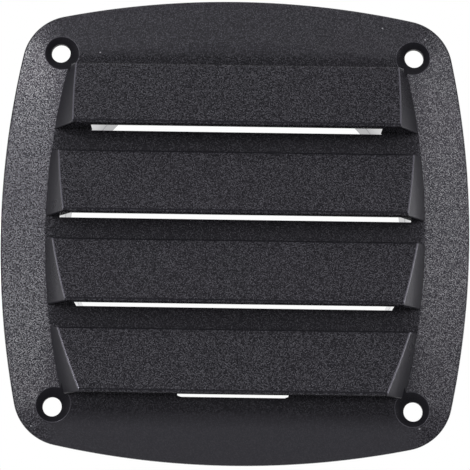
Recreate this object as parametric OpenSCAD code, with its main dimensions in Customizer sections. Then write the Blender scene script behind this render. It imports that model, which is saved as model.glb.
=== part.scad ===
// Louvred ventilation grille, moulded in one piece: a bowed square plate with four
// hooded louvres over a round air way, four countersunk screw holes, and a short
// round spigot behind. Everything is drawn face up, with x across, y up the louvres
// and z out of the wall, and the whole part is then stood upright to face -Y.

/* [Plate] */
// Width across the middle of the plate
plate_w = 127; // [120:0.5:160]
// Height up the middle of the plate
plate_h = 127; // [122:0.5:160]
// Radius that each side of the plate bows to
side_r = 235; // [180:5:500]
// Radius of the plate's corners
corner_r = 14; // [10:0.5:18]
// Height of the plate's outer edge above the wall
edge_t = 2.5; // [2.3:0.1:3.5]
// Height of the flat field above the wall
field_t = 4.5; // [4.2:0.1:6]
// Width of the border that slopes from the field to the edge
border_w = 12.3; // [8:0.1:13]
// Radius that each side of the field bows to
field_r = 193; // [150:1:400]
// Radius of the field's corners
field_corner_r = 2; // [1:0.5:6]
// Thickness of the moulded wall of the plate
skin_t = 2.2; // [1.6:0.1:2.2]
// Width of the rim that sits on the wall
rim_w = 2.5; // [1.5:0.1:4]

/* [Louvres] */
// Number of louvre hoods
hood_n = 4; // [2:1:4]
// Distance from one hood to the next
hood_pitch = 24; // [23:0.1:24.2]
// Length of a hood from its top line down to its lip
hood_len = 17.7; // [14:0.1:18.5]
// How far the row of hoods sits below the middle of the plate
hood_drop = 0.3; // [0:0.1:1]
// Height of a hood's lip above the field
lip_h = 9.6; // [8:0.1:14]
// Height of a hood's top edge above the field
riser_h = 3.8; // [3.2:0.1:5]
// Angle that the cheeks of a hood lean inwards
cheek_draft = 29; // [10:1:35]
// Thickness of a hood's wall
hood_t = 3; // [2:0.1:3]
// Straight gap between a lip and the band below it
lip_gap = 0.3; // [0.1:0.1:1]
// Radius of the rounded front edge of a lip
lip_r = 0.8; // [0.3:0.1:1.2]
// Radius of the rounded top edge of a hood
top_r = 0.6; // [0.3:0.1:1.2]

/* [Air way] */
// Diameter of the round air way that bounds the slots
air_d = 95; // [80:0.5:96]
// Wall of the spigot where it leaves the plate
spigot_t = 2; // [2:0.1:4]
// Length of the spigot behind the wall face
spigot_len = 15; // [4:0.5:30]
// How much the bore of the spigot narrows from the air way to its far end, across
bore_narrowing = 3; // [0:0.5:7]
// Width of the shoulder round the spigot that sits on the wall
shoulder_w = 2.5; // [1:0.1:3]

/* [Screw holes] */
// Distance between the screw holes across the plate
hole_span_w = 96.8; // [94:0.1:100]
// Distance between the screw holes up the plate
hole_span_h = 96.8; // [94:0.1:100]
// Diameter of the screw holes
hole_d = 5.2; // [3:0.1:5.5]
// Diameter of the countersink where it meets the border
sink_d = 9.5; // [7:0.1:10]
// Angle across the countersink
sink_angle = 90; // [82:1:100]
// Wall left round a screw hole behind the border
boss_t = 3.5; // [2:0.1:4]

/* [Hidden] */
black_plastic = [0.13, 0.13, 0.14];
// how far a cutting body runs past the face that it cuts
over = 1;
// steps along a half side and round a corner of an outline
side_steps = 8;
corner_steps = 8;
edge_steps = 5;
round_fn = 120;
bow_fn = 360;
field_half = [plate_w / 2 - border_w, plate_h / 2 - border_w];
plate_half = [plate_w / 2, plate_h / 2];
hood_row = (hood_n - 1) * hood_pitch + hood_len;
face_slope = atan((lip_h - riser_h) / hood_len);
roof_t = hood_t / cos(face_slope);
cheek_t = hood_t / cos(cheek_draft);
border_slope = (field_t - edge_t) / border_w;
bend_middle = side_steps + corner_steps / 2;
spigot_d = air_d + 2 * spigot_t;
shoulder_d = spigot_d + 2 * shoulder_w;

// points of an arc, with both ends
function arc(centre, r, from, to, steps) =
    [for (i = [0 : steps]) let (t = from + (to - from) * i / steps) centre + r * [cos(t), sin(t)]];

// one quarter of a bowed rectangle: half a side, the corner and half of the next side
function quarter(half, bow, corner) =
    let (
        a = [half.x - bow, 0],
        b = [0, half.y - bow],
        across = norm(b - a),
        reach = sqrt(pow(bow - corner, 2) - pow(across / 2, 2)),
        c = (a + b) / 2 + reach * [bow - half.y, bow - half.x] / across,
        t1 = atan2(c.y - a.y, c.x - a.x),
        t2 = atan2(c.y - b.y, c.x - b.x),
        side = arc(a, bow, 0, t1, side_steps),
        bend = arc(c, corner, t1, t2, corner_steps),
        top = arc(b, bow, t2, 90, side_steps)
    )
    concat(side, [for (i = [1 : corner_steps]) bend[i]], [for (i = [1 : side_steps]) top[i]]);

// the closed outline, with the quarter mirrored round and no point given twice
function outline(half, bow, corner) =
    let (q = quarter(half, bow, corner), m = len(q) - 1)
    concat(
        [for (i = [0 : m - 1]) q[i]],
        [for (i = [0 : m - 1]) [-q[m - i].x, q[m - i].y]],
        [for (i = [0 : m - 1]) -q[i]],
        [for (i = [0 : m - 1]) [q[m - i].x, -q[m - i].y]]
    );

function unit(v) = v / norm(v);

// points that round off the corner p1 of a path from p0 to p2
function rounded(p0, p1, p2, r) =
    let (
        u = unit(p0 - p1),
        v = unit(p2 - p1),
        half = acos(u * v) / 2,
        centre = p1 + unit(u + v) * r / sin(half),
        first = p1 + u * r / tan(half) - centre,
        last = p1 + v * r / tan(half) - centre,
        start = atan2(first.y, first.x),
        turn = atan2(last.y, last.x) - start
    )
    arc(centre, r, start, start + turn - 360 * round(turn / 360), edge_steps);

// solid between a wide outline and a narrow one: straight up to the edge, then sloping in
module domed(wide, narrow, z_low, z_edge, z_top) {
    n = len(wide);
    points = concat(
        [for (p = wide) [p.x, p.y, z_low]],
        [for (p = wide) [p.x, p.y, z_edge]],
        [for (p = narrow) [p.x, p.y, z_top]]
    );
    faces = concat(
        [[for (i = [0 : n - 1]) i]],
        [for (i = [0 : n - 1]) [i, i + n, (i + 1) % n + n, (i + 1) % n]],
        [for (i = [0 : n - 1]) [i + n, i + 2 * n, (i + 1) % n + n]],
        [for (i = [0 : n - 1]) [(i + 1) % n + n, i + 2 * n, (i + 1) % n + 2 * n]],
        [[for (i = [n - 1 : -1 : 0]) i + 2 * n]]
    );
    polyhedron(points, faces);
}

module plate() {
    domed(
        outline(plate_half, side_r, corner_r),
        outline(field_half, field_r, field_corner_r),
        0, edge_t, field_t
    );
}

// space behind the border, one wall thickness below its face
module border_hollow() {
    inner_half = plate_half - [rim_w, rim_w];
    domed(
        outline(inner_half, side_r - rim_w, corner_r - rim_w),
        outline(field_half, field_r, field_corner_r),
        -over, edge_t + rim_w * border_slope - skin_t, field_t - skin_t
    );
}

// everything between the two leaning cheeks, drawn in by a wall thickness for a hollow
module between_cheeks(inset, z_low, z_top) {
    intersection_for (side = [-1, 1])
        translate([side * (field_half.x - field_r), 0, z_low])
            cylinder(
                h = z_top - z_low,
                r1 = field_r - inset + (field_t - z_low) * tan(cheek_draft),
                r2 = field_r - inset + (field_t - z_top) * tan(cheek_draft),
                $fn = bow_fn
            );
}

// a side profile drawn in y and z, run right across the plate
module across(profile) {
    rotate([90, 0, 90])
        linear_extrude(height = plate_w, center = true)
            polygon(profile);
}

// where the top line of a hood lies, counted from the top one down
function hood_top(i) = hood_row / 2 - hood_drop - i * hood_pitch;

// height of a hood's face above the wall, at a distance down from its top line
function face_z(down) = field_t + riser_h + down * tan(face_slope);

module hood(top_y) {
    foot = [top_y, field_t - over];
    top = [top_y, face_z(0)];
    lip = [top_y - hood_len, face_z(hood_len)];
    foot_below = [top_y - hood_len, field_t - over];
    intersection() {
        across(concat(
            [foot],
            rounded(foot, top, lip, top_r),
            rounded(top, lip, foot_below, lip_r),
            [foot_below]
        ));
        between_cheeks(0, field_t - over, field_t + lip_h + over);
    }
}

// space under a hood, from the back of its top wall down to end_y, open behind
module hood_hollow(top_y, end_y) {
    start_y = top_y - hood_t;
    intersection() {
        across([
            [start_y, -over],
            [start_y, face_z(hood_t) - roof_t],
            [end_y, face_z(top_y - end_y) - roof_t],
            [end_y, -over]
        ]);
        between_cheeks(cheek_t, -over, field_t + lip_h);
    }
}

// the space that air passes through: the tapered bore, the round well behind the plate's skin
// and the slots under the hoods, down to the bands below their lips
module air_space() {
    taper = bore_narrowing / 2 / spigot_len;
    end_z = -spigot_len - over;
    intersection() {
        union() {
            translate([-plate_w / 2, -plate_h / 2, 2 * end_z])
                cube([plate_w, plate_h, field_t - skin_t - 2 * end_z]);
            for (i = [0 : hood_n - 1])
                hood_hollow(hood_top(i), hood_top(i) - hood_len - lip_gap);
        }
        rotate_extrude($fn = round_fn)
            polygon([
                [0, end_z],
                [air_d / 2 + end_z * taper, end_z],
                [air_d / 2, 0],
                [air_d / 2, field_t + lip_h],
                [0, field_t + lip_h]
            ]);
    }
}

// the ends of a hood outside the shoulder, hollow behind and closed at the lip
module end_hollow(top_y) {
    difference() {
        hood_hollow(top_y, top_y - hood_len + hood_t);
        bar(shoulder_d, -2 * over, field_t + lip_h + over);
    }
}

// an upright round bar between two heights
module bar(d, z_low, z_top) {
    translate([0, 0, z_low])
        cylinder(h = z_top - z_low, d = d, $fn = round_fn);
}

// height of the border's face at a screw hole, between the corners of the field and the plate
hole_z =
    let (
        inner = quarter(field_half, field_r, field_corner_r)[bend_middle],
        outer = quarter(plate_half, side_r, corner_r)[bend_middle],
        out = norm([hole_span_w, hole_span_h] / 2 - inner) / norm(outer - inner)
    )
    field_t - out * (field_t - edge_t);

module at_screw_holes() {
    for (x = [-1, 1], y = [-1, 1])
        translate([x * hole_span_w / 2, y * hole_span_h / 2, 0])
            children();
}

module screw_hole() {
    sink_depth = (sink_d - hole_d) / 2 / tan(sink_angle / 2);
    bar(hole_d, -over, field_t + over);
    translate([0, 0, hole_z - sink_depth])
        cylinder(
            h = sink_depth + over,
            d1 = hole_d,
            d2 = sink_d + 2 * over * tan(sink_angle / 2),
            $fn = round_fn
        );
}

module grille() {
    color(black_plastic)
        rotate([90, 0, 0])
            difference() {
                union() {
                    difference() {
                        plate();
                        difference() {
                            border_hollow();
                            bar(shoulder_d, -2 * over, field_t + over);
                            at_screw_holes()
                                bar(hole_d + 2 * boss_t, -2 * over, field_t + over);
                        }
                    }
                    bar(spigot_d, -spigot_len, field_t - skin_t / 2);
                    for (i = [0 : hood_n - 1])
                        hood(hood_top(i));
                }
                air_space();
                for (i = [0 : hood_n - 1])
                    end_hollow(hood_top(i));
                at_screw_holes()
                    screw_hole();
            }
}

grille();
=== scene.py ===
import math

import bmesh
import bpy
from bpy.props import FloatProperty, FloatVectorProperty, IntProperty, PointerProperty
from mathutils import Matrix, Vector


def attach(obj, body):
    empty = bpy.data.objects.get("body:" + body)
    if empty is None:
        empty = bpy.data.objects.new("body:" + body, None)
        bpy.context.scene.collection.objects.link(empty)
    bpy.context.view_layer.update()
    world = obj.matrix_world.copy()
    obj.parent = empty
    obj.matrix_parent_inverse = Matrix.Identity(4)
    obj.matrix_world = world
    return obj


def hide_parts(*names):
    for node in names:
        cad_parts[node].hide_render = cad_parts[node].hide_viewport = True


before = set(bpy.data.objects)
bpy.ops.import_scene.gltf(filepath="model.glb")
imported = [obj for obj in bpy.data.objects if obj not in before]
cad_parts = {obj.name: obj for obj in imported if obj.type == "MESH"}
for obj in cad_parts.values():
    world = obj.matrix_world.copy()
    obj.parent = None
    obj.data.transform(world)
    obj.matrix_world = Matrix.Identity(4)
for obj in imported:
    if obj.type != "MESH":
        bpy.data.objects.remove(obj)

bl_info = {
    "name": "Louvred Ventilation Grille",
    "version": (1, 0, 0),
    "blender": (4, 5, 0),
    "location": "3D View > Sidebar > Vent Grille",
    "description": "Makes a moulded, bowed square vent grille with hooded louvres, and its studio",
    "category": "Object",
}

MM = 0.001
FACE_UP_TO_UPRIGHT = Matrix.Rotation(math.radians(90), 4, "X")

# steps along half a side and round a corner of a bowed outline, and round a circle
SIDE_STEPS = 20
CORNER_STEPS = 16
CIRCLE_STEPS = 192

# small forms of the moulding: the chamfer where its outer edge meets the wall, the steps of that edge's
# rounding, the shares of the border's width that have a ring, the chamfer at the spigot's end, and half the
# width of the fine line round the bore
FOOT = 0.2 * MM
EDGE_STEPS = 6
BORDER_RINGS = (0.2, 0.5, 0.8)
SPIGOT_CHAMFER = 0.3 * MM
LINE_HALF = 0.15 * MM

# how many corners the unit block of a louvre has along each axis, and from where on one counts as on a side
BLOCK_VERTICES = {"X": 3, "Y": 19, "Z": 5}
BLOCK_SIDE = 0.4999

# an edge by a screw hole is a rim from the first angle on, and any edge is shaded sharp from the second on
RIM_ANGLE = math.radians(20)
SHARP_ANGLE = math.radians(35)

# parts of the normal of a face on a hood's roundings, across, up the louvres and out of the wall: a flat
# cheek is past CHEEK_ACROSS, an edge that runs across the hood is within LEVEL_ACROSS and can get painted
# shade past the up bound after it, and a crease that gets a painted highlight is short of CREASE_ACROSS and
# past
# CREASE_UP and CREASE_OUT
CHEEK_ACROSS, LEVEL_ACROSS, PAINTED_SHADE_UP = 0.8, 0.1, -0.2
CREASE_ACROSS, CREASE_UP, CREASE_OUT = 0.7, -0.4, 0.3

# materials of the moulding; the last two are copies of the plastic with painted light: one darkened as
# painted shade in the countersinks, holes and edges under the lips, one lightened as a painted highlight on
# the creases
FLAT = "grained_plastic"
SMOOTH = "satin_plastic"
BORE = "polished_plastic"
PAINTED_SHADE = "plastic_in_painted_shade"
CREASE_HIGHLIGHT = "crease_painted_highlight"

# about the mean of the flecks over a face, the share of the colour that lies in them as painted glints, and
# the size of the slow changes over the moulding
MEAN_FLECK = 0.22
FLECK_SHARE = 0.75
FLOW_SIZE = 30 * MM

# where the flecks change, in millimetres: across, out of the wall, and up the grille
SIDE_BORDER = (46, 53)
HOOD_FACE = (-5, -7)
BOTTOM_FADE = (-52, -44)
TOP_BORDER = (45, 50)
BOTTOM_BORDER = (-48, -55)

# contrast of the soft flecks on the bottom border and what they gain above it, and their level between the
# hoods, kept low as painted shade, and what it gains on the top and bottom border
SOFT_LEAST, SOFT_GAIN = 0.20, 0.45
SHADE_LEVEL_BETWEEN_HOODS, LEVEL_GAIN = 0.05, 0.20

# studio: the film's width in millimetres, the floor's half side and the lamps' distance in metres, and how
# bright the world lights the grille
SENSOR_WIDTH = 36
FLOOR_SIDE = 3.0
LAMP_DISTANCE = 1.1
WORLD_LIGHT = 0.3


def length(label, what, millimetres, low, high):
    """A size in metres, named and described for the sidebar."""
    return FloatProperty(
        name=label, description=what, default=millimetres * MM,
        min=low * MM, max=high * MM, unit="LENGTH", subtype="DISTANCE", precision=5,
    )


def angle(label, what, degrees, low, high):
    return FloatProperty(
        name=label, description=what, default=math.radians(degrees),
        min=math.radians(low), max=math.radians(high), unit="ROTATION", subtype="ANGLE", precision=4,
    )


def colour(label, what, value):
    return FloatVectorProperty(
        name=label, description=what, default=value, size=3, min=0, max=1, subtype="COLOR"
    )


class VENT_PG_plate(bpy.types.PropertyGroup):
    """Sizes of the bowed square plate"""
    width: length("Width", "Width across the middle of the plate", 127, 120, 160)
    height: length("Height", "Height up the middle of the plate", 127, 122, 160)
    side_radius: length("Side Radius", "Radius that each side bows to", 235, 180, 500)
    corner_radius: length("Corner Radius", "Radius of the plate's corners", 14, 10, 18)
    edge_height: length("Edge Height", "Height of the outer edge above the wall", 2.5, 2, 4)
    field_height: length("Field Height", "Height of the flat field above the wall", 4.5, 4, 6)
    border: length("Border", "Width of the border that slopes to the edge", 12.3, 8, 13)
    field_radius: length("Field Radius", "Radius that each side of the field bows to", 193, 150, 400)
    field_corner: length("Field Corner", "Radius of the field's corners", 2, 1, 6)
    skin: length("Skin", "Thickness of the moulded wall", 2.2, 1.6, 2.2)
    rim: length("Rim", "Width of the rim that sits on the wall", 2.5, 1.5, 4)
    edge_round: length("Edge Round", "Rounding of the plate's outer edge", 0.55, 0.1, 1)
    bend_round: length("Bend Round", "Half width of the soft bend where the border starts", 0.18, 0.05, 1)


class VENT_PG_louvres(bpy.types.PropertyGroup):
    """Sizes of the louvre hoods"""
    count: IntProperty(name="Count", description="Number of louvre hoods", default=4, min=2, max=4)
    pitch: length("Pitch", "Distance from one hood to the next", 24, 23, 24.2)
    reach: length("Length", "Length of a hood from its top line to its lip", 17.7, 14, 18.5)
    drop: length("Drop", "How far the row sits below the middle", 0.3, 0, 1)
    lip_height: length("Lip Height", "Height of a lip above the field", 9.6, 8, 14)
    riser_height: length("Riser Height", "Height of a hood's top edge above the field", 3.8, 3, 5)
    cheek_lean: angle("Cheek Lean", "Angle that the cheeks lean inwards", 29, 10, 35)
    wall: length("Wall", "Thickness of a hood's wall", 3, 2, 3)
    gap: length("Lip Gap", "Straight gap between a lip and the band below it", 0.3, 0.1, 1)
    lip_round: length("Lip Round", "Radius of a lip's front edge", 0.8, 0.2, 1.2)
    top_round: length("Top Round", "Radius of a hood's top edge", 0.6, 0.2, 1.2)
    crease_round: length("Crease Round", "Radius of the edges of a cheek", 0.3, 0.05, 0.6)


class VENT_PG_airway(bpy.types.PropertyGroup):
    """Sizes of the round air way and its spigot"""
    air_diameter: length("Air Diameter", "Diameter of the circle that ends the slots", 95, 80, 96)
    spigot_diameter: length("Spigot Diameter", "Outer diameter of the spigot", 99, 99, 104)
    spigot_length: length("Spigot Length", "Length of the spigot behind the wall face", 15, 4, 30)
    bore_end: length("Bore End", "Bore of the spigot at its far end", 92, 88, 95)
    bore_line: length("Bore Line", "How far behind the wall face a fine line runs round the bore", 6.6, 1, 12)
    shoulder: length("Shoulder", "Width of the shoulder round the spigot", 2.5, 1, 3)


class VENT_PG_holes(bpy.types.PropertyGroup):
    """Sizes of the countersunk screw holes"""
    span: length("Span", "Distance between the screw holes", 96.8, 94, 100)
    diameter: length("Diameter", "Diameter of the screw holes", 5.2, 3, 5.5)
    sink_diameter: length("Sink Diameter", "Diameter of the countersink at the border", 9.5, 7, 10)
    sink_angle: angle("Sink Angle", "Angle across the countersink", 90, 82, 100)
    boss: length("Boss", "Wall left round a screw hole behind", 3.5, 2, 4)
    rim_round: length("Rim Round", "Rounding of the countersink's rim", 0.12, 0.02, 0.4)


class VENT_PG_finish(bpy.types.PropertyGroup):
    """Colours and textures of the plastic, and of the floor"""
    plastic: colour("Plastic", "Colour of the moulded plastic", (0.0114, 0.0110, 0.0137))
    sheen: colour("Sheen", "Tint of the light that the plastic reflects", (0.88, 0.85, 1.0))
    # the pale specks are dust, and painted highlights on burrs at two countersinks' rims
    dust_and_burr_highlight: colour("Dust", "Colour of the pale specks and burrs", (0.14, 0.14, 0.15))
    floor: colour("Floor", "Colour of the studio floor", (0.80, 0.80, 0.80))
    grain_size: length("Grain Size", "Width of one bump of the moulded grain", 0.30, 0.1, 2)
    grain_depth: length("Grain Depth", "Height of the moulded grain", 0.05, 0, 0.2)


class VENT_PG_studio(bpy.types.PropertyGroup):
    """Camera and lights"""
    distance: length("Camera Distance", "From the camera to the field", 608.2, 300, 2000)
    pitch: angle("Pitch", "How far the camera stands above the grille, below it if negative", -8.25, -30, 30)
    yaw: angle("Yaw", "How far the camera stands to one side", 0.148, -30, 30)
    roll: angle("Roll", "How far the camera is rolled", -0.822, -10, 10)
    offset_x: length("Offset X", "How far the field's middle stands to the right in the view", 0.053, -20, 20)
    offset_y: length("Offset Y", "How far the field's middle stands up in the view", 1.587, -20, 20)
    lens: FloatProperty(
        name="Lens", description="Focal length on a 36 mm sensor", default=172.65, min=20, max=400
    )
    floor_drop: length("Floor Drop", "How far the floor lies below the middle of the grille", 170, 60, 400)


def arc(centre, radius, start, end, steps):
    """Points of an arc, with both ends."""
    turns = [start + (end - start) * i / steps for i in range(steps + 1)]
    return [centre + radius * Vector((math.cos(t), math.sin(t))) for t in turns]


def bowed_outline(half, bow, corner):
    """The closed outline of a square whose sides bow out and whose corners are round."""
    a, b = Vector((half.x - bow, 0)), Vector((0, half.y - bow))
    across = (b - a).length
    reach = math.sqrt((bow - corner) ** 2 - (across / 2) ** 2)
    c = (a + b) / 2 + reach * Vector((bow - half.y, bow - half.x)) / across
    t1 = math.atan2(c.y - a.y, c.x - a.x)
    t2 = math.atan2(c.y - b.y, c.x - b.x)
    q = arc(a, bow, 0, t1, SIDE_STEPS)
    q += arc(c, corner, t1, t2, CORNER_STEPS)[1:]
    q += arc(b, bow, t2, math.pi / 2, SIDE_STEPS)[1:]
    m = len(q) - 1
    return (
        [q[i] for i in range(m)]
        + [Vector((-q[m - i].x, q[m - i].y)) for i in range(m)]
        + [-q[i] for i in range(m)]
        + [Vector((q[m - i].x, -q[m - i].y)) for i in range(m)]
    )


def square(half):
    return [Vector((x * half, y * half)) for x, y in ((-1, -1), (1, -1), (1, 1), (-1, 1))]


def circle(radius):
    turns = [2 * math.pi * i / CIRCLE_STEPS for i in range(CIRCLE_STEPS)]
    return [radius * Vector((math.cos(t), math.sin(t))) for t in turns]


def lofted(name, rings):
    """A closed solid through rings of (outline, height), from the lowest to the highest."""
    bm = bmesh.new()
    loops = [[bm.verts.new((p.x, p.y, z)) for p in outline] for outline, z in rings]
    n = len(loops[0])
    for low, high in zip(loops, loops[1:]):
        for i in range(n):
            bm.faces.new((low[i], low[(i + 1) % n], high[(i + 1) % n], high[i]))
    bm.faces.new(reversed(loops[0]))
    bm.faces.new(loops[-1])
    mesh = bpy.data.meshes.new(name)
    bm.to_mesh(mesh)
    bm.free()
    piece = bpy.data.objects.new(name, mesh)
    bpy.context.scene.collection.objects.link(piece)
    return piece


def turned(name, profile, at=(0, 0)):
    """A closed solid through (radius, height) points, turned about an upright axis."""
    centre = Vector(at)
    return lofted(name, [([p + centre for p in circle(r)], z) for r, z in profile])


def finished_mesh(piece):
    """Applies a piece's modifiers by putting the result in their place."""
    bpy.context.view_layer.update()
    evaluated = piece.evaluated_get(bpy.context.evaluated_depsgraph_get())
    mesh = bpy.data.meshes.new_from_object(evaluated)
    piece.modifiers.clear()
    old = piece.data
    piece.data = mesh
    bpy.data.meshes.remove(old)
    return piece


def combine(piece, other, operation):
    """Adds another solid to a piece, cuts it off, or keeps what they share, and removes it."""
    cut = piece.modifiers.new(operation, "BOOLEAN")
    cut.operation = operation
    cut.object = other
    cut.solver = "EXACT"
    cut.material_mode = "TRANSFER"
    finished_mesh(piece)
    bpy.data.objects.remove(other)
    return piece


def dress(piece, *names):
    """Gives a piece its material slots, in order."""
    piece.data.materials.clear()
    for name in names:
        piece.data.materials.append(bpy.data.materials[name])


class Wires:
    """Short calls that add and join the nodes of one tree."""

    def __init__(self, tree):
        self.tree = tree

    def node(self, kind, **values):
        made = self.tree.nodes.new(kind)
        for key, value in values.items():
            setattr(made, key, value)
        return made

    def put(self, value, socket):
        if isinstance(value, bpy.types.NodeSocket):
            self.tree.links.new(value, socket)
        elif value is not None:
            socket.default_value = value

    def maths(self, operation, *values, clamp=False):
        made = self.node("ShaderNodeMath", operation=operation, use_clamp=clamp)
        for value, socket in zip(values, made.inputs):
            self.put(value, socket)
        return made.outputs[0]

    def arrange(self):
        """Spreads the nodes out in columns, so that the tree can be read."""
        for i, made in enumerate(self.tree.nodes):
            made.location = (220 * (i // 6), -190 * (i % 6))


LOUVRE_INPUTS = (
    ("Count", "NodeSocketInt", "Number of louvres"),
    ("Pitch", "NodeSocketFloat", "Distance from one louvre to the next"),
    ("First Top", "NodeSocketFloat", "Height of the top louvre's top line"),
    ("Start", "NodeSocketFloat", "Where the block starts, below the top line"),
    ("End", "NodeSocketFloat", "Where the block ends, below the top line"),
    ("Low", "NodeSocketFloat", "Height of the block's underside"),
    ("Top Height", "NodeSocketFloat", "Height of the block's roof at the top line"),
    ("Slope", "NodeSocketFloat", "Rise of the roof for each unit down the louvre"),
    ("Side Centre", "NodeSocketFloat", "Distance of a side arc's centre from the middle"),
    ("Side Radius", "NodeSocketFloat", "Radius of the side arc at the field's height"),
    ("Field Height", "NodeSocketFloat", "Height at which the side arc is measured"),
    ("Lean", "NodeSocketFloat", "How far a cheek leans in for each unit of height"),
    ("Lip Weight", "NodeSocketFloat", "Bevel weight of the lip's edge"),
    ("Top Weight", "NodeSocketFloat", "Bevel weight of the top edge"),
    ("Cheek Weight", "NodeSocketFloat", "Bevel weight of a cheek's edges"),
)


def louvre_tree():
    """Geometry nodes for a row of louvre blocks: sloping roofs between two bowed, leaning cheeks."""
    tree = bpy.data.node_groups.new("Louvre Row", "GeometryNodeTree")
    tree.interface.new_socket(name="Geometry", in_out="OUTPUT", socket_type="NodeSocketGeometry")
    for name, kind, what in LOUVRE_INPUTS:
        socket = tree.interface.new_socket(name=name, in_out="INPUT", socket_type=kind)
        socket.description = what
    for name in ("Face Material", "Cheek Material"):
        tree.interface.new_socket(name=name, in_out="INPUT", socket_type="NodeSocketMaterial")
    w = Wires(tree)
    given = w.node("NodeGroupInput").outputs
    out = w.node("NodeGroupOutput")

    # one point for each louvre, carrying the height of its top line
    line = w.node("GeometryNodeMeshLine")
    w.put(given["Count"], line.inputs["Count"])
    line.inputs["Offset"].default_value = (0, 0, 0)
    fall = w.maths("MULTIPLY", w.node("GeometryNodeInputIndex").outputs[0], given["Pitch"])
    top_line = w.maths("SUBTRACT", given["First Top"], fall)
    tag = w.node("GeometryNodeStoreNamedAttribute", data_type="FLOAT", domain="POINT")
    w.put(line.outputs[0], tag.inputs["Geometry"])
    tag.inputs["Name"].default_value = "top_line"
    w.put(top_line, tag.inputs["Value"])

    # a unit block on each point
    block = w.node("GeometryNodeMeshCube")
    block.inputs["Size"].default_value = (1, 1, 1)
    for axis, count in BLOCK_VERTICES.items():
        block.inputs[f"Vertices {axis}"].default_value = count
    copies = w.node("GeometryNodeInstanceOnPoints")
    w.put(tag.outputs[0], copies.inputs["Points"])
    w.put(block.outputs["Mesh"], copies.inputs["Instance"])
    real = w.node("GeometryNodeRealizeInstances")
    w.put(copies.outputs[0], real.inputs[0])

    # where each corner stood in the unit block is kept for the edges and faces
    unit = w.node("GeometryNodeStoreNamedAttribute", data_type="FLOAT_VECTOR", domain="POINT")
    w.put(real.outputs[0], unit.inputs["Geometry"])
    unit.inputs["Name"].default_value = "unit"
    w.put(w.node("GeometryNodeInputPosition").outputs[0], unit.inputs["Value"])
    read = w.node("GeometryNodeInputNamedAttribute", data_type="FLOAT_VECTOR")
    read.inputs["Name"].default_value = "unit"
    split = w.node("ShaderNodeSeparateXYZ")
    w.put(read.outputs["Attribute"], split.inputs[0])
    a, b, c = split.outputs
    read_top = w.node("GeometryNodeInputNamedAttribute", data_type="FLOAT")
    read_top.inputs["Name"].default_value = "top_line"
    top = read_top.outputs["Attribute"]

    # the unit block is drawn out to the louvre's real shape
    span = w.maths("SUBTRACT", given["End"], given["Start"])
    down = w.maths("MULTIPLY_ADD", w.maths("SUBTRACT", 0.5, b), span, given["Start"])
    y = w.maths("SUBTRACT", top, down)
    roof = w.maths("MULTIPLY_ADD", down, given["Slope"], given["Top Height"])
    rise = w.maths("SUBTRACT", roof, given["Low"])
    z = w.maths("MULTIPLY_ADD", w.maths("ADD", c, 0.5), rise, given["Low"])
    below_field = w.maths("SUBTRACT", given["Field Height"], z)
    radius = w.maths("MULTIPLY_ADD", below_field, given["Lean"], given["Side Radius"])
    reach_squared = w.maths("SUBTRACT", w.maths("MULTIPLY", radius, radius), w.maths("MULTIPLY", y, y))
    half = w.maths("SUBTRACT", w.maths("SQRT", reach_squared), given["Side Centre"])
    x = w.maths("MULTIPLY", w.maths("MULTIPLY", a, 2.0), half)
    place = w.node("ShaderNodeCombineXYZ")
    for value, socket in zip((x, y, z), place.inputs):
        w.put(value, socket)
    shaped = w.node("GeometryNodeSetPosition")
    w.put(unit.outputs[0], shaped.inputs["Geometry"])
    w.put(place.outputs[0], shaped.inputs["Position"])

    # how much each edge is rounded
    def at(value, end):
        towards = value if end > 0 else w.maths("MULTIPLY", value, -1.0)
        return w.maths("GREATER_THAN", towards, BLOCK_SIDE)

    side = w.maths("GREATER_THAN", w.maths("ABSOLUTE", a), BLOCK_SIDE)
    roof_side = at(c, 1)
    weights = (
        w.maths("MULTIPLY", w.maths("MULTIPLY", roof_side, at(b, -1)), given["Lip Weight"]),
        w.maths("MULTIPLY", w.maths("MULTIPLY", roof_side, at(b, 1)), given["Top Weight"]),
        w.maths("MULTIPLY", w.maths("MULTIPLY", roof_side, side), given["Cheek Weight"]),
        w.maths("MULTIPLY", w.maths("MULTIPLY", at(b, 1), side), given["Cheek Weight"]),
        w.maths("MULTIPLY", w.maths("MULTIPLY", at(b, -1), side), given["Cheek Weight"]),
    )
    weight = weights[0]
    for other in weights[1:]:
        weight = w.maths("MAXIMUM", weight, other)
    bevel = w.node("GeometryNodeStoreNamedAttribute", data_type="FLOAT", domain="EDGE")
    w.put(shaped.outputs[0], bevel.inputs["Geometry"])
    bevel.inputs["Name"].default_value = "bevel_weight_edge"
    w.put(weight, bevel.inputs["Value"])

    faces = w.node("GeometryNodeSetMaterial")
    w.put(bevel.outputs[0], faces.inputs["Geometry"])
    w.put(given["Face Material"], faces.inputs["Material"])
    cheeks = w.node("GeometryNodeSetMaterial")
    w.put(faces.outputs[0], cheeks.inputs["Geometry"])
    w.put(side, cheeks.inputs["Selection"])
    w.put(given["Cheek Material"], cheeks.inputs["Material"])
    w.put(cheeks.outputs[0], out.inputs[0])
    w.arrange()
    return tree


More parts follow.
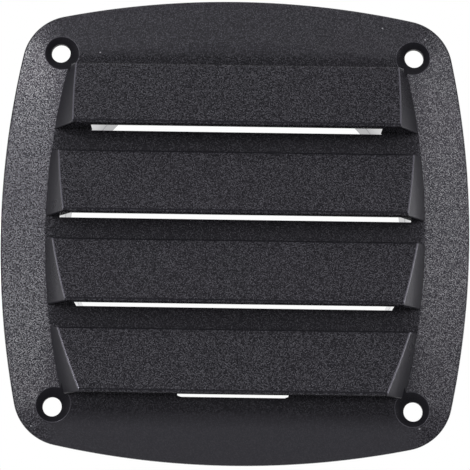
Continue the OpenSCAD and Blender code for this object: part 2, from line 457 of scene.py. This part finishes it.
def louvre_row(
    name, settings, start, end, low, roof_drop=0.0, inset=0.0, rounds=(0, 0, 0), materials=(FLAT, SMOOTH)
):
    """One solid for each louvre, drawn face up: the hoods, or the spaces inside them."""
    plate, louvres = settings.vent_plate, settings.vent_louvres
    tree = bpy.data.node_groups.get("Louvre Row") or louvre_tree()
    slope = (louvres.lip_height - louvres.riser_height) / louvres.reach
    row = (louvres.count - 1) * louvres.pitch + louvres.reach
    values = {
        "Count": louvres.count,
        "Pitch": louvres.pitch,
        "First Top": row / 2 - louvres.drop,
        "Start": start,
        "End": end,
        "Low": low,
        "Top Height": plate.field_height + louvres.riser_height - roof_drop,
        "Slope": slope,
        "Side Centre": plate.field_radius - (plate.width / 2 - plate.border),
        "Side Radius": plate.field_radius - inset,
        "Field Height": plate.field_height,
        "Lean": math.tan(louvres.cheek_lean),
        "Lip Weight": rounds[0] / MM,
        "Top Weight": rounds[1] / MM,
        "Cheek Weight": rounds[2] / MM,
        "Face Material": bpy.data.materials[materials[0]],
        "Cheek Material": bpy.data.materials[materials[1]],
    }
    piece = bpy.data.objects.new(name, bpy.data.meshes.new(name))
    bpy.context.scene.collection.objects.link(piece)
    maker = piece.modifiers.new("Louvre Row", "NODES")
    maker.node_group = tree
    for item in tree.interface.items_tree:
        if item.in_out == "INPUT":
            maker[item.identifier] = values[item.name]
    finished_mesh(piece)
    piece.data.attributes.remove(piece.data.attributes["unit"])
    piece.data.attributes.remove(piece.data.attributes["top_line"])
    return piece


def grain_group():
    """Fine bumps of a spark-eroded mould, and the flecks that they catch the light with."""
    tree = bpy.data.node_groups.new("Moulded Grain", "ShaderNodeTree")
    for name, kind, way in (
        ("Size", "NodeSocketFloat", "INPUT"),
        ("Height", "NodeSocketFloat", "OUTPUT"),
        ("Fleck", "NodeSocketFloat", "OUTPUT"),
    ):
        tree.interface.new_socket(name=name, in_out=way, socket_type=kind)
    w = Wires(tree)
    given = w.node("NodeGroupInput").outputs
    out = w.node("NodeGroupOutput")
    place = w.node("ShaderNodeTexCoord").outputs["Object"]
    scale = w.maths("DIVIDE", 1.0, given["Size"])
    coarse = w.node("ShaderNodeTexNoise")
    w.put(place, coarse.inputs["Vector"])
    w.put(scale, coarse.inputs["Scale"])
    coarse.inputs["Detail"].default_value = 2.0
    coarse.inputs["Roughness"].default_value = 0.6
    pits = w.node("ShaderNodeTexVoronoi", feature="SMOOTH_F1")
    w.put(place, pits.inputs["Vector"])
    w.put(w.maths("MULTIPLY", scale, 0.8), pits.inputs["Scale"])
    pits.inputs["Smoothness"].default_value = 0.6
    height = w.maths("ADD", coarse.outputs["Fac"], w.maths("MULTIPLY", pits.outputs["Distance"], -0.5))
    w.put(height, out.inputs["Height"])
    cells = w.node("ShaderNodeTexVoronoi", feature="F1")
    w.put(place, cells.inputs["Vector"])
    w.put(scale, cells.inputs["Scale"])
    spot = w.node("ShaderNodeMapRange", interpolation_type="SMOOTHSTEP")
    w.put(cells.outputs["Distance"], spot.inputs["Value"])
    spot.inputs["From Min"].default_value = 0.75
    spot.inputs["From Max"].default_value = 0.15
    value = w.node("ShaderNodeSeparateColor")
    w.put(cells.outputs["Color"], value.inputs[0])
    w.put(w.maths("MULTIPLY", spot.outputs[0], value.outputs[0]), out.inputs["Fleck"])
    w.arrange()
    return tree


def flow_group():
    """Slow changes over the whole moulding: uneven gloss, and faint sink in the flats."""
    tree = bpy.data.node_groups.new("Moulding Flow", "ShaderNodeTree")
    for name, way in (("Size", "INPUT"), ("Gloss", "OUTPUT"), ("Wave", "OUTPUT")):
        tree.interface.new_socket(name=name, in_out=way, socket_type="NodeSocketFloat")
    w = Wires(tree)
    given = w.node("NodeGroupInput").outputs
    out = w.node("NodeGroupOutput")
    place = w.node("ShaderNodeTexCoord").outputs["Object"]
    scale = w.maths("DIVIDE", 1.0, given["Size"])
    slow = w.node("ShaderNodeTexNoise")
    w.put(place, slow.inputs["Vector"])
    w.put(scale, slow.inputs["Scale"])
    slow.inputs["Detail"].default_value = 3.0
    w.put(slow.outputs["Fac"], out.inputs["Gloss"])
    wave = w.node("ShaderNodeTexNoise")
    w.put(place, wave.inputs["Vector"])
    w.put(w.maths("MULTIPLY", scale, 2.5), wave.inputs["Scale"])
    wave.inputs["Detail"].default_value = 0.0
    w.put(wave.outputs["Fac"], out.inputs["Wave"])
    w.arrange()
    return tree


def spread_flecks(w, flecks):
    """Flecks at full strength on the hoods and side borders, and softer elsewhere, where their low level
    between the hoods darkens the plastic as painted shade.
    """
    place = w.node("ShaderNodeSeparateXYZ")
    w.put(w.node("ShaderNodeTexCoord").outputs["Object"], place.inputs[0])
    x, y, z = place.outputs

    def ramp(value, ends):
        made = w.node("ShaderNodeMapRange", interpolation_type="SMOOTHSTEP")
        w.put(value, made.inputs["Value"])
        made.inputs["From Min"].default_value = ends[0] * MM
        made.inputs["From Max"].default_value = ends[1] * MM
        return made.outputs["Result"]

    strong = w.maths("MAXIMUM", ramp(w.maths("ABSOLUTE", x), SIDE_BORDER), ramp(y, HOOD_FACE))
    soft = w.maths("MULTIPLY_ADD", ramp(z, BOTTOM_FADE), SOFT_GAIN, SOFT_LEAST)
    ends = w.maths("ADD", ramp(z, TOP_BORDER), ramp(z, BOTTOM_BORDER))
    # a low level between the hoods darkens the plastic there as painted shade
    level = w.maths("MULTIPLY_ADD", ends, LEVEL_GAIN, SHADE_LEVEL_BETWEEN_HOODS)
    weak = w.maths("MULTIPLY_ADD", w.maths("SUBTRACT", flecks, MEAN_FLECK), soft, level)
    blend = w.node("ShaderNodeMix", data_type="FLOAT")
    w.put(strong, blend.inputs["Factor"])
    w.put(weak, blend.inputs["A"])
    w.put(flecks, blend.inputs["B"])
    return blend.outputs["Result"]


SPECKS = (
    # where each pale speck sits and its radius, in millimetres: specks of dust on the border, and painted
    # highlights on burrs at the rims of the two right-hand countersinks
    ((-37.5, -4.4, 48.2), 0.22),
    ((39.6, -3.1, 56.4), 0.22),
    ((51.3, -3.0, 53.4), 0.26),
    ((-53.8, -2.7, -53.7), 0.22),
    ((50.0, -3.2, -53.0), 0.26),
)


def speck_mask(w):
    """1 on the few pale specks of the border, which are dust and painted highlights on burrs, and 0
    elsewhere.
    """
    place = w.node("ShaderNodeTexCoord").outputs["Object"]
    mask = 0.0
    for at, radius in SPECKS:
        away = w.node("ShaderNodeVectorMath", operation="DISTANCE")
        w.put(place, away.inputs[0])
        away.inputs[1].default_value = [v * MM for v in at]
        mask = w.maths("MAXIMUM", mask, w.maths("LESS_THAN", away.outputs["Value"], radius * MM))
    return mask


def plastic(name, finish, rough, rough_spread, grain_depth, fleck, wave_depth, specular, coat, painted_light_scale=1.0):
    """Black moulded plastic, grained where grain_depth is above 0. Its skin glints where the grain's
    flecks are, between the two weights of coat, and its colour is lighter on the flecks as painted glints. A
    tone above 1 lightens the colour as a painted highlight, and one below 1 darkens it as painted shade."""
    material = bpy.data.materials.new(name)
    material.use_nodes = True
    w = Wires(material.node_tree)
    shader = material.node_tree.nodes["Principled BSDF"]
    shader.inputs["Specular IOR Level"].default_value = specular
    shader.inputs["Specular Tint"].default_value = (*finish.sheen, 1)
    shader.inputs["Coat Roughness"].default_value = rough
    grain = w.node("ShaderNodeGroup", node_tree=bpy.data.node_groups.get("Moulded Grain") or grain_group())
    grain.inputs["Size"].default_value = finish.grain_size
    flow = w.node("ShaderNodeGroup", node_tree=bpy.data.node_groups.get("Moulding Flow") or flow_group())
    flow.inputs["Size"].default_value = FLOW_SIZE

    spots = grain.outputs["Fleck"]
    if grain_depth:
        spots = spread_flecks(w, spots)
    shade = w.node("ShaderNodeMix", data_type="RGBA", blend_type="MIX")
    w.put(spots, shade.inputs["Factor"])
    darken = FLECK_SHARE * fleck
    dark = [painted_light_scale * v * (1 - darken) for v in finish.plastic]
    light = [painted_light_scale * v * (1 + darken * (1 - MEAN_FLECK) / MEAN_FLECK) for v in finish.plastic]
    shade.inputs["A"].default_value = (*dark, 1)
    shade.inputs["B"].default_value = (*light, 1)
    tint = shade.outputs["Result"]
    if grain_depth:
        # pale specks: dust, and painted highlights on burrs at two countersinks' rims
        specks = w.node("ShaderNodeMix", data_type="RGBA", blend_type="MIX")
        w.put(speck_mask(w), specks.inputs["Factor"])
        w.put(tint, specks.inputs["A"])
        specks.inputs["B"].default_value = (*finish.dust_and_burr_highlight, 1)
        tint = specks.outputs["Result"]
    w.put(tint, shader.inputs["Base Color"])

    glint = w.node("ShaderNodeMapRange")
    w.put(spots, glint.inputs["Value"])
    glint.inputs["To Min"].default_value = coat[0]
    glint.inputs["To Max"].default_value = coat[1]
    w.put(glint.outputs["Result"], shader.inputs["Coat Weight"])

    gloss = w.node("ShaderNodeMapRange")
    w.put(flow.outputs["Gloss"], gloss.inputs["Value"])
    gloss.inputs["From Min"].default_value = 0.3
    gloss.inputs["From Max"].default_value = 0.7
    gloss.inputs["To Min"].default_value = rough - rough_spread
    gloss.inputs["To Max"].default_value = rough + rough_spread
    w.put(gloss.outputs["Result"], shader.inputs["Roughness"])

    wave = w.node("ShaderNodeBump")
    wave.inputs["Strength"].default_value = 1.0
    wave.inputs["Distance"].default_value = wave_depth
    w.put(flow.outputs["Wave"], wave.inputs["Height"])
    normal = wave.outputs[0]
    if grain_depth:
        bump = w.node("ShaderNodeBump")
        bump.inputs["Strength"].default_value = 1.0
        bump.inputs["Distance"].default_value = grain_depth
        w.put(grain.outputs["Height"], bump.inputs["Height"])
        w.put(normal, bump.inputs["Normal"])
        normal = bump.outputs[0]
    w.put(normal, shader.inputs["Normal"])
    w.arrange()
    return material


def floor_material(finish):
    """Pale studio floor: white in the reflections on the plastic, and half way to white in the picture, where
    it keeps its shadow."""
    material = bpy.data.materials.new("studio_floor")
    material.use_nodes = True
    w = Wires(material.node_tree)
    shader = material.node_tree.nodes["Principled BSDF"]
    shader.inputs["Base Color"].default_value = (*finish.floor, 1)
    shader.inputs["Roughness"].default_value = 0.9
    white = w.node("ShaderNodeEmission")
    blend = w.node("ShaderNodeMixShader")
    ray = w.node("ShaderNodeLightPath").outputs
    seen = w.maths("MULTIPLY", ray["Is Camera Ray"], 0.5)
    w.put(w.maths("MAXIMUM", seen, ray["Is Glossy Ray"]), blend.inputs[0])
    w.put(shader.outputs[0], blend.inputs[1])
    w.put(white.outputs[0], blend.inputs[2])
    w.put(blend.outputs[0], material.node_tree.nodes["Material Output"].inputs["Surface"])
    w.arrange()
    return material


def make_materials(finish):
    if FLAT in bpy.data.materials:
        return
    plastic(
        FLAT, finish, rough=0.24, rough_spread=0.03, grain_depth=finish.grain_depth, fleck=1.0,
        wave_depth=0.02 * MM, specular=0.13, coat=(0.02, 0.97),
    )
    plastic(
        SMOOTH, finish, rough=0.29, rough_spread=0.03, grain_depth=0, fleck=0.10,
        wave_depth=0.03 * MM, specular=0.27, coat=(0.06, 0.18),
    )
    plastic(
        BORE, finish, rough=0.04, rough_spread=0.01, grain_depth=0, fleck=0.04,
        wave_depth=0, specular=1.0, coat=(1.0, 1.0),
    )
    # a darkened copy of the plastic: painted shade in the countersinks and holes, and on edges under the lips
    plastic(
        PAINTED_SHADE, finish, rough=0.40, rough_spread=0.03, grain_depth=0, fleck=0.10,
        wave_depth=0, specular=0.05, coat=(0.0, 0.02), painted_light_scale=0.75,
    )
    # a lightened copy of the plastic: a painted highlight on the cheeks' creases
    plastic(
        CREASE_HIGHLIGHT, finish, rough=0.20, rough_spread=0.02, grain_depth=0, fleck=0.10,
        wave_depth=0, specular=0.6, coat=(0.10, 0.3), painted_light_scale=3.2,
    )


def plate_blank(plate):
    """The bowed square plate with its sloping border, solid behind."""
    half = Vector((plate.width / 2, plate.height / 2))
    inner = half - Vector((plate.border, plate.border))
    wide = bowed_outline(half, plate.side_radius, plate.corner_radius)
    narrow = bowed_outline(inner, plate.field_radius, plate.field_corner)
    rise = plate.field_height - plate.edge_height
    tilt = math.atan2(rise, plate.border)

    def ring(inset, z):
        f = inset / plate.border
        return [o.lerp(i, f) for o, i in zip(wide, narrow)], z

    def on_border(inset):
        return ring(inset, plate.edge_height + rise * inset / plate.border)

    r = plate.edge_round
    middle = plate.edge_height + r * math.tan(tilt) - r / math.cos(tilt)
    rings = [ring(FOOT, 0), ring(0, FOOT)]
    for i in range(EDGE_STEPS + 1):
        t = (math.pi / 2 - tilt) * i / EDGE_STEPS
        rings.append(ring(r - r * math.cos(t), middle + r * math.sin(t)))
    for share in BORDER_RINGS:
        rings.append(on_border(plate.border * share))
    bend = plate.bend_round
    rings.append(on_border(plate.border - bend))
    inside = inner - Vector((bend, bend))
    field = bowed_outline(inside, plate.field_radius - bend, plate.field_corner - bend)
    rings.append((field, plate.field_height))
    return lofted("plate_blank", rings)


def border_hollow(plate):
    """The space behind the border, one wall thickness below its face."""
    half = Vector((plate.width / 2 - plate.rim, plate.height / 2 - plate.rim))
    inner = Vector((plate.width / 2 - plate.border, plate.height / 2 - plate.border))
    wide = bowed_outline(half, plate.side_radius - plate.rim, plate.corner_radius - plate.rim)
    narrow = bowed_outline(inner, plate.field_radius, plate.field_corner)
    slope = (plate.field_height - plate.edge_height) / plate.border
    edge = plate.edge_height + plate.rim * slope - plate.skin
    return lofted("border_hollow", [(wide, -MM), (wide, edge), (narrow, plate.field_height - plate.skin)])


def hole_places(holes):
    reach = holes.span / 2
    return [(x * reach, y * reach) for x in (-1, 1) for y in (-1, 1)]


def hole_height(plate, holes):
    """Height of the border's face at a screw hole."""
    half = Vector((plate.width / 2, plate.height / 2))
    inner_half = half - Vector((plate.border, plate.border))
    inner = bowed_outline(inner_half, plate.field_radius, plate.field_corner)
    outer = bowed_outline(half, plate.side_radius, plate.corner_radius)
    middle = SIDE_STEPS + CORNER_STEPS // 2
    span = Vector((holes.span / 2, holes.span / 2)) - inner[middle]
    out = span.length / (outer[middle] - inner[middle]).length
    return plate.field_height - out * (plate.field_height - plate.edge_height)


def bar(name, radius, low, high, at=(0, 0)):
    return turned(name, [(radius, low), (radius, high)], at)


def slots_of(piece):
    """The number of each material's slot on a piece, by name."""
    return {made.name: i for i, made in enumerate(piece.data.materials) if made}


def dress_edges(hoods, louvres):
    """Paints a highlight on the creases of the cheeks with a lightened plastic, and paints shade with a
    darkened plastic on the top edges that lie under another hood's lip and on the strip of each lip's
    rounding next to the hood's face. The other roundings are grained like the hoods' faces."""
    for name in (CREASE_HIGHLIGHT, PAINTED_SHADE):
        hoods.data.materials.append(bpy.data.materials[name])
    slots = slots_of(hoods)
    row = (louvres.count - 1) * louvres.pitch + louvres.reach
    below_first = row / 2 - louvres.drop - louvres.pitch / 2
    for face in hoods.data.polygons:
        across, up, out = face.normal
        lean = abs(across)
        if face.material_index != slots[SMOOTH] or lean > CHEEK_ACROSS:
            continue
        if lean > LEVEL_ACROSS:
            # a crease that faces forward gets a painted highlight, and an edge across a hood under another
            # hood's lip gets painted shade
            gets_painted_highlight = lean < CREASE_ACROSS and up > CREASE_UP and out > CREASE_OUT
            name = CREASE_HIGHLIGHT if gets_painted_highlight else SMOOTH
        else:
            in_painted_shade = up > PAINTED_SHADE_UP and face.center.y < below_first
            name = PAINTED_SHADE if in_painted_shade else FLAT
        face.material_index = slots[name]


def moulding(settings):
    """The whole grille, drawn face up in metres."""
    plate, louvres = settings.vent_plate, settings.vent_louvres
    airway, holes = settings.vent_airway, settings.vent_holes
    field, over = plate.field_height, MM
    under_skin = field - plate.skin
    shoulder = airway.spigot_diameter / 2 + airway.shoulder
    slope = math.atan2(louvres.lip_height - louvres.riser_height, louvres.reach)
    roof = louvres.wall / math.cos(slope)
    cheek = louvres.wall / math.cos(louvres.cheek_lean)

    body = plate_blank(plate)
    dress(body, FLAT, SMOOTH)
    hollow = border_hollow(plate)
    combine(hollow, bar("core", shoulder, -2 * over, field), "DIFFERENCE")
    for at in hole_places(holes):
        combine(hollow, bar("core", holes.diameter / 2 + holes.boss, -2 * over, field, at), "DIFFERENCE")
    dress(hollow, SMOOTH)
    combine(body, hollow, "DIFFERENCE")

    tube = turned("tube", [
        (airway.spigot_diameter / 2 - SPIGOT_CHAMFER, -airway.spigot_length),
        (airway.spigot_diameter / 2, -airway.spigot_length + SPIGOT_CHAMFER),
        (airway.spigot_diameter / 2, under_skin + plate.skin / 2),
    ])
    dress(tube, SMOOTH)
    combine(body, tube, "UNION")

    hoods = louvre_row(
        "hoods", settings, 0, louvres.reach, field - over,
        rounds=(
            louvres.lip_round / math.tan((math.pi / 2 - slope) / 2),
            louvres.top_round / math.tan((math.pi / 2 + slope) / 2),
            louvres.crease_round,
        ),
    )
    rounding = hoods.modifiers.new("rounding", "BEVEL")
    rounding.limit_method = "WEIGHT"
    rounding.width = 1.0 * MM
    rounding.segments = 4
    rounding.material = slots_of(hoods)[SMOOTH]
    rounding.use_clamp_overlap = False
    finished_mesh(hoods)
    dress_edges(hoods, louvres)
    combine(body, hoods, "UNION")

    # the air runs through the tapered bore, a round well and the slots under the hoods
    air = louvre_row(
        "air", settings, louvres.wall, louvres.reach + louvres.gap, -over,
        roof_drop=roof, inset=cheek, materials=(SMOOTH, SMOOTH),
    )
    low = -airway.spigot_length - over
    well = lofted("well", [(square(plate.width / 2), 2 * low), (square(plate.width / 2), under_skin)])
    dress(well, SMOOTH)
    combine(air, well, "UNION")
    wide = airway.air_diameter / 2
    taper = (airway.air_diameter - airway.bore_end) / 2 / airway.spigot_length
    line = -airway.bore_line
    round_way = turned("round_way", [
        (wide + low * taper, low),
        (wide + (line - LINE_HALF) * taper, line - LINE_HALF),
        (wide + line * taper + LINE_HALF, line),
        (wide + (line + LINE_HALF) * taper, line + LINE_HALF),
        (wide, 0),
        (wide, field + louvres.lip_height + over),
    ])
    dress(round_way, BORE)
    combine(air, round_way, "INTERSECT")
    combine(body, air, "DIFFERENCE")

    ends = louvre_row(
        "ends", settings, louvres.wall, louvres.reach - louvres.wall, -over,
        roof_drop=roof, inset=cheek, materials=(SMOOTH, SMOOTH),
    )
    ring = bar("ring", shoulder, -2 * over, field + louvres.lip_height + over)
    dress(ring, SMOOTH)
    combine(ends, ring, "DIFFERENCE")
    combine(body, ends, "DIFFERENCE")

    sink_depth = (holes.sink_diameter - holes.diameter) / 2 / math.tan(holes.sink_angle / 2)
    rim_height = hole_height(plate, holes)
    above = 2 * over
    for at in hole_places(holes):
        drill = turned("drill", [
            (holes.diameter / 2, -over),
            (holes.diameter / 2, rim_height - sink_depth),
            (holes.sink_diameter / 2 + above * math.tan(holes.sink_angle / 2), rim_height + above),
        ], at)
        # the countersink and hole take the darkened plastic, as painted shade
        dress(drill, PAINTED_SHADE)
        combine(body, drill, "DIFFERENCE")
    return body


def soften_rims(body, holes):
    """Rounds the rims of the countersinks, where the grained face meets the cone."""
    bm = bmesh.new()
    bm.from_mesh(body.data)
    weight = bm.edges.layers.float.get("bevel_weight_edge") or bm.edges.layers.float.new("bevel_weight_edge")
    places = [Vector(at) for at in hole_places(holes)]
    near_face = 2 * MM
    for edge in bm.edges:
        edge[weight] = 0
        if len(edge.link_faces) != 2 or edge.calc_face_angle(0) < RIM_ANGLE:
            continue
        middle = (edge.verts[0].co + edge.verts[1].co) / 2
        if middle.z < near_face:
            continue
        for place in places:
            if (middle.xy - place).length < holes.sink_diameter / 2 + MM:
                edge[weight] = holes.rim_round / MM
    bm.to_mesh(body.data)
    bm.free()
    rounding = body.modifiers.new("rims", "BEVEL")
    rounding.limit_method = "WEIGHT"
    rounding.width = MM
    rounding.segments = 3
    rounding.material = slots_of(body)[SMOOTH]
    rounding.use_clamp_overlap = False
    finished_mesh(body)


def smooth_flats(body):
    """Shades round faces smooth and keeps the flats flat."""
    for face in body.data.polygons:
        face.use_smooth = True
    body.data.set_sharp_from_angle(angle=SHARP_ANGLE)
    keep = body.modifiers.new("flats", "WEIGHTED_NORMAL")
    keep.mode = "FACE_AREA"
    keep.weight = 100
    keep.keep_sharp = True
    finished_mesh(body)


class VENT_OT_moulding(bpy.types.Operator):
    """Make the one-piece moulded grille: plate, louvre hoods, slots, spigot and screw holes"""
    bl_idname = "object.vent_moulding"
    bl_label = "Grille Moulding"

    def execute(self, context):
        settings = context.scene
        make_materials(settings.vent_finish)
        body = moulding(settings)
        soften_rims(body, settings.vent_holes)
        smooth_flats(body)
        if not body.data.polygons:
            raise RuntimeError("the moulding came out empty")
        body.data.transform(FACE_UP_TO_UPRIGHT)
        body.name = "grille_moulding"
        body.data.name = "grille_moulding"
        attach(body, "root")
        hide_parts("grille")
        return {"FINISHED"}


LIGHTS = (
    # name, degrees to the right, degrees up, width and height in metres, and watts
    ("left_high", -31, 21, 0.26, 0.20, 5.5),
    ("left_low", -28, 1, 0.30, 0.20, 2.2),
    ("right_box", 28, 13, 0.30, 0.54, 3.85),
    ("top_front", 0, 34, 0.50, 0.20, 0.18),
    ("top_left", -30, 62, 0.40, 0.30, 1.2),
    ("top_right", 30, 72, 0.40, 0.30, 1.0),
    ("left_edge", -100, 5, 0.60, 0.50, 3.9),
    ("right_edge", 100, 5, 0.60, 0.50, 6.2),
)


def aim(thing, target):
    thing.rotation_euler = (thing.location - target).to_track_quat("Z", "Y").to_euler()


class VENT_OT_stage(bpy.types.Operator):
    """Make the studio: pale floor, soft lights, white surroundings and the camera"""
    bl_idname = "scene.vent_stage"
    bl_label = "Studio"

    def execute(self, context):
        scene = context.scene
        studio, finish = scene.vent_studio, scene.vent_finish
        field = scene.vent_plate.field_height

        mesh = bpy.data.meshes.new("studio_floor")
        side, drop = FLOOR_SIDE, -studio.floor_drop
        corners = [(-side, -side, drop), (side, -side, drop), (side, side, drop), (-side, side, drop)]
        mesh.from_pydata(corners, [], [(0, 1, 2, 3)])
        floor = bpy.data.objects.new("studio_floor", mesh)
        mesh.materials.append(floor_material(finish))
        scene.collection.objects.link(floor)

        world = bpy.data.worlds.new("studio")
        scene.world = world
        world.use_nodes = True
        w = Wires(world.node_tree)
        back = world.node_tree.nodes["Background"]
        back.inputs["Color"].default_value = (1, 1, 1, 1)
        ray = w.node("ShaderNodeLightPath").outputs
        seen = w.maths("MAXIMUM", ray["Is Camera Ray"], ray["Is Transmission Ray"])
        seen = w.maths("MAXIMUM", seen, ray["Is Glossy Ray"])
        strength = w.node("ShaderNodeMapRange")
        w.put(seen, strength.inputs["Value"])
        strength.inputs["To Min"].default_value = WORLD_LIGHT
        strength.inputs["To Max"].default_value = 1.0
        w.put(strength.outputs["Result"], back.inputs["Strength"])

        for name, turn, lift, wide, tall, power in LIGHTS:
            turn, lift = math.radians(turn), math.radians(lift)
            lamp = bpy.data.lights.new(name, "AREA")
            lamp.shape = "RECTANGLE"
            lamp.size, lamp.size_y = wide, tall
            lamp.energy = power
            light = bpy.data.objects.new(name, lamp)
            light.location = LAMP_DISTANCE * Vector((
                math.cos(lift) * math.sin(turn), -math.cos(lift) * math.cos(turn), math.sin(lift)
            ))
            aim(light, Vector((0, 0, 0)))
            scene.collection.objects.link(light)

        view = (
            Matrix.Rotation(studio.roll, 3, "Z")
            @ Matrix.Rotation(studio.pitch, 3, "X")
            @ Matrix.Rotation(studio.yaw, 3, "Y")
        )
        away = Vector((-studio.offset_x, -studio.offset_y, studio.distance))
        place = view.transposed() @ away + Vector((0, 0, field))
        camera = bpy.data.cameras.new("camera")
        camera.sensor_width = SENSOR_WIDTH
        camera.lens = studio.lens
        camera.clip_start = 0.01
        eye = bpy.data.objects.new("camera", camera)
        eye.matrix_world = FACE_UP_TO_UPRIGHT @ (Matrix.Translation(place) @ view.transposed().to_4x4())
        scene.collection.objects.link(eye)
        scene.camera = eye
        scene.view_settings.view_transform = "Standard"
        return {"FINISHED"}


class VENT_PT_sidebar(bpy.types.Panel):
    """Sizes, finish and buttons of the grille"""
    bl_idname = "VENT_PT_sidebar"
    bl_label = "Vent Grille"
    bl_space_type = "VIEW_3D"
    bl_region_type = "UI"
    bl_category = "Vent Grille"

    def draw(self, context):
        for group in GROUPS:
            box = self.layout.box()
            box.label(text=group[5:].title())
            settings = getattr(context.scene, group)
            for name in settings.__annotations__:
                box.prop(settings, name)
        self.layout.operator(VENT_OT_moulding.bl_idname)
        self.layout.operator(VENT_OT_stage.bl_idname)


GROUPS = {
    "vent_plate": VENT_PG_plate,
    "vent_louvres": VENT_PG_louvres,
    "vent_airway": VENT_PG_airway,
    "vent_holes": VENT_PG_holes,
    "vent_finish": VENT_PG_finish,
    "vent_studio": VENT_PG_studio,
}
CLASSES = (*GROUPS.values(), VENT_OT_moulding, VENT_OT_stage, VENT_PT_sidebar)


def register():
    for made in CLASSES:
        bpy.utils.register_class(made)
    for name, group in GROUPS.items():
        setattr(bpy.types.Scene, name, PointerProperty(type=group))


def unregister():
    for name in GROUPS:
        delattr(bpy.types.Scene, name)
    for made in reversed(CLASSES):
        bpy.utils.unregister_class(made)


def main():
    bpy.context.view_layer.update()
    register()
    bpy.ops.object.vent_moulding()
    bpy.ops.scene.vent_stage()


if __name__ == "__main__":
    main()
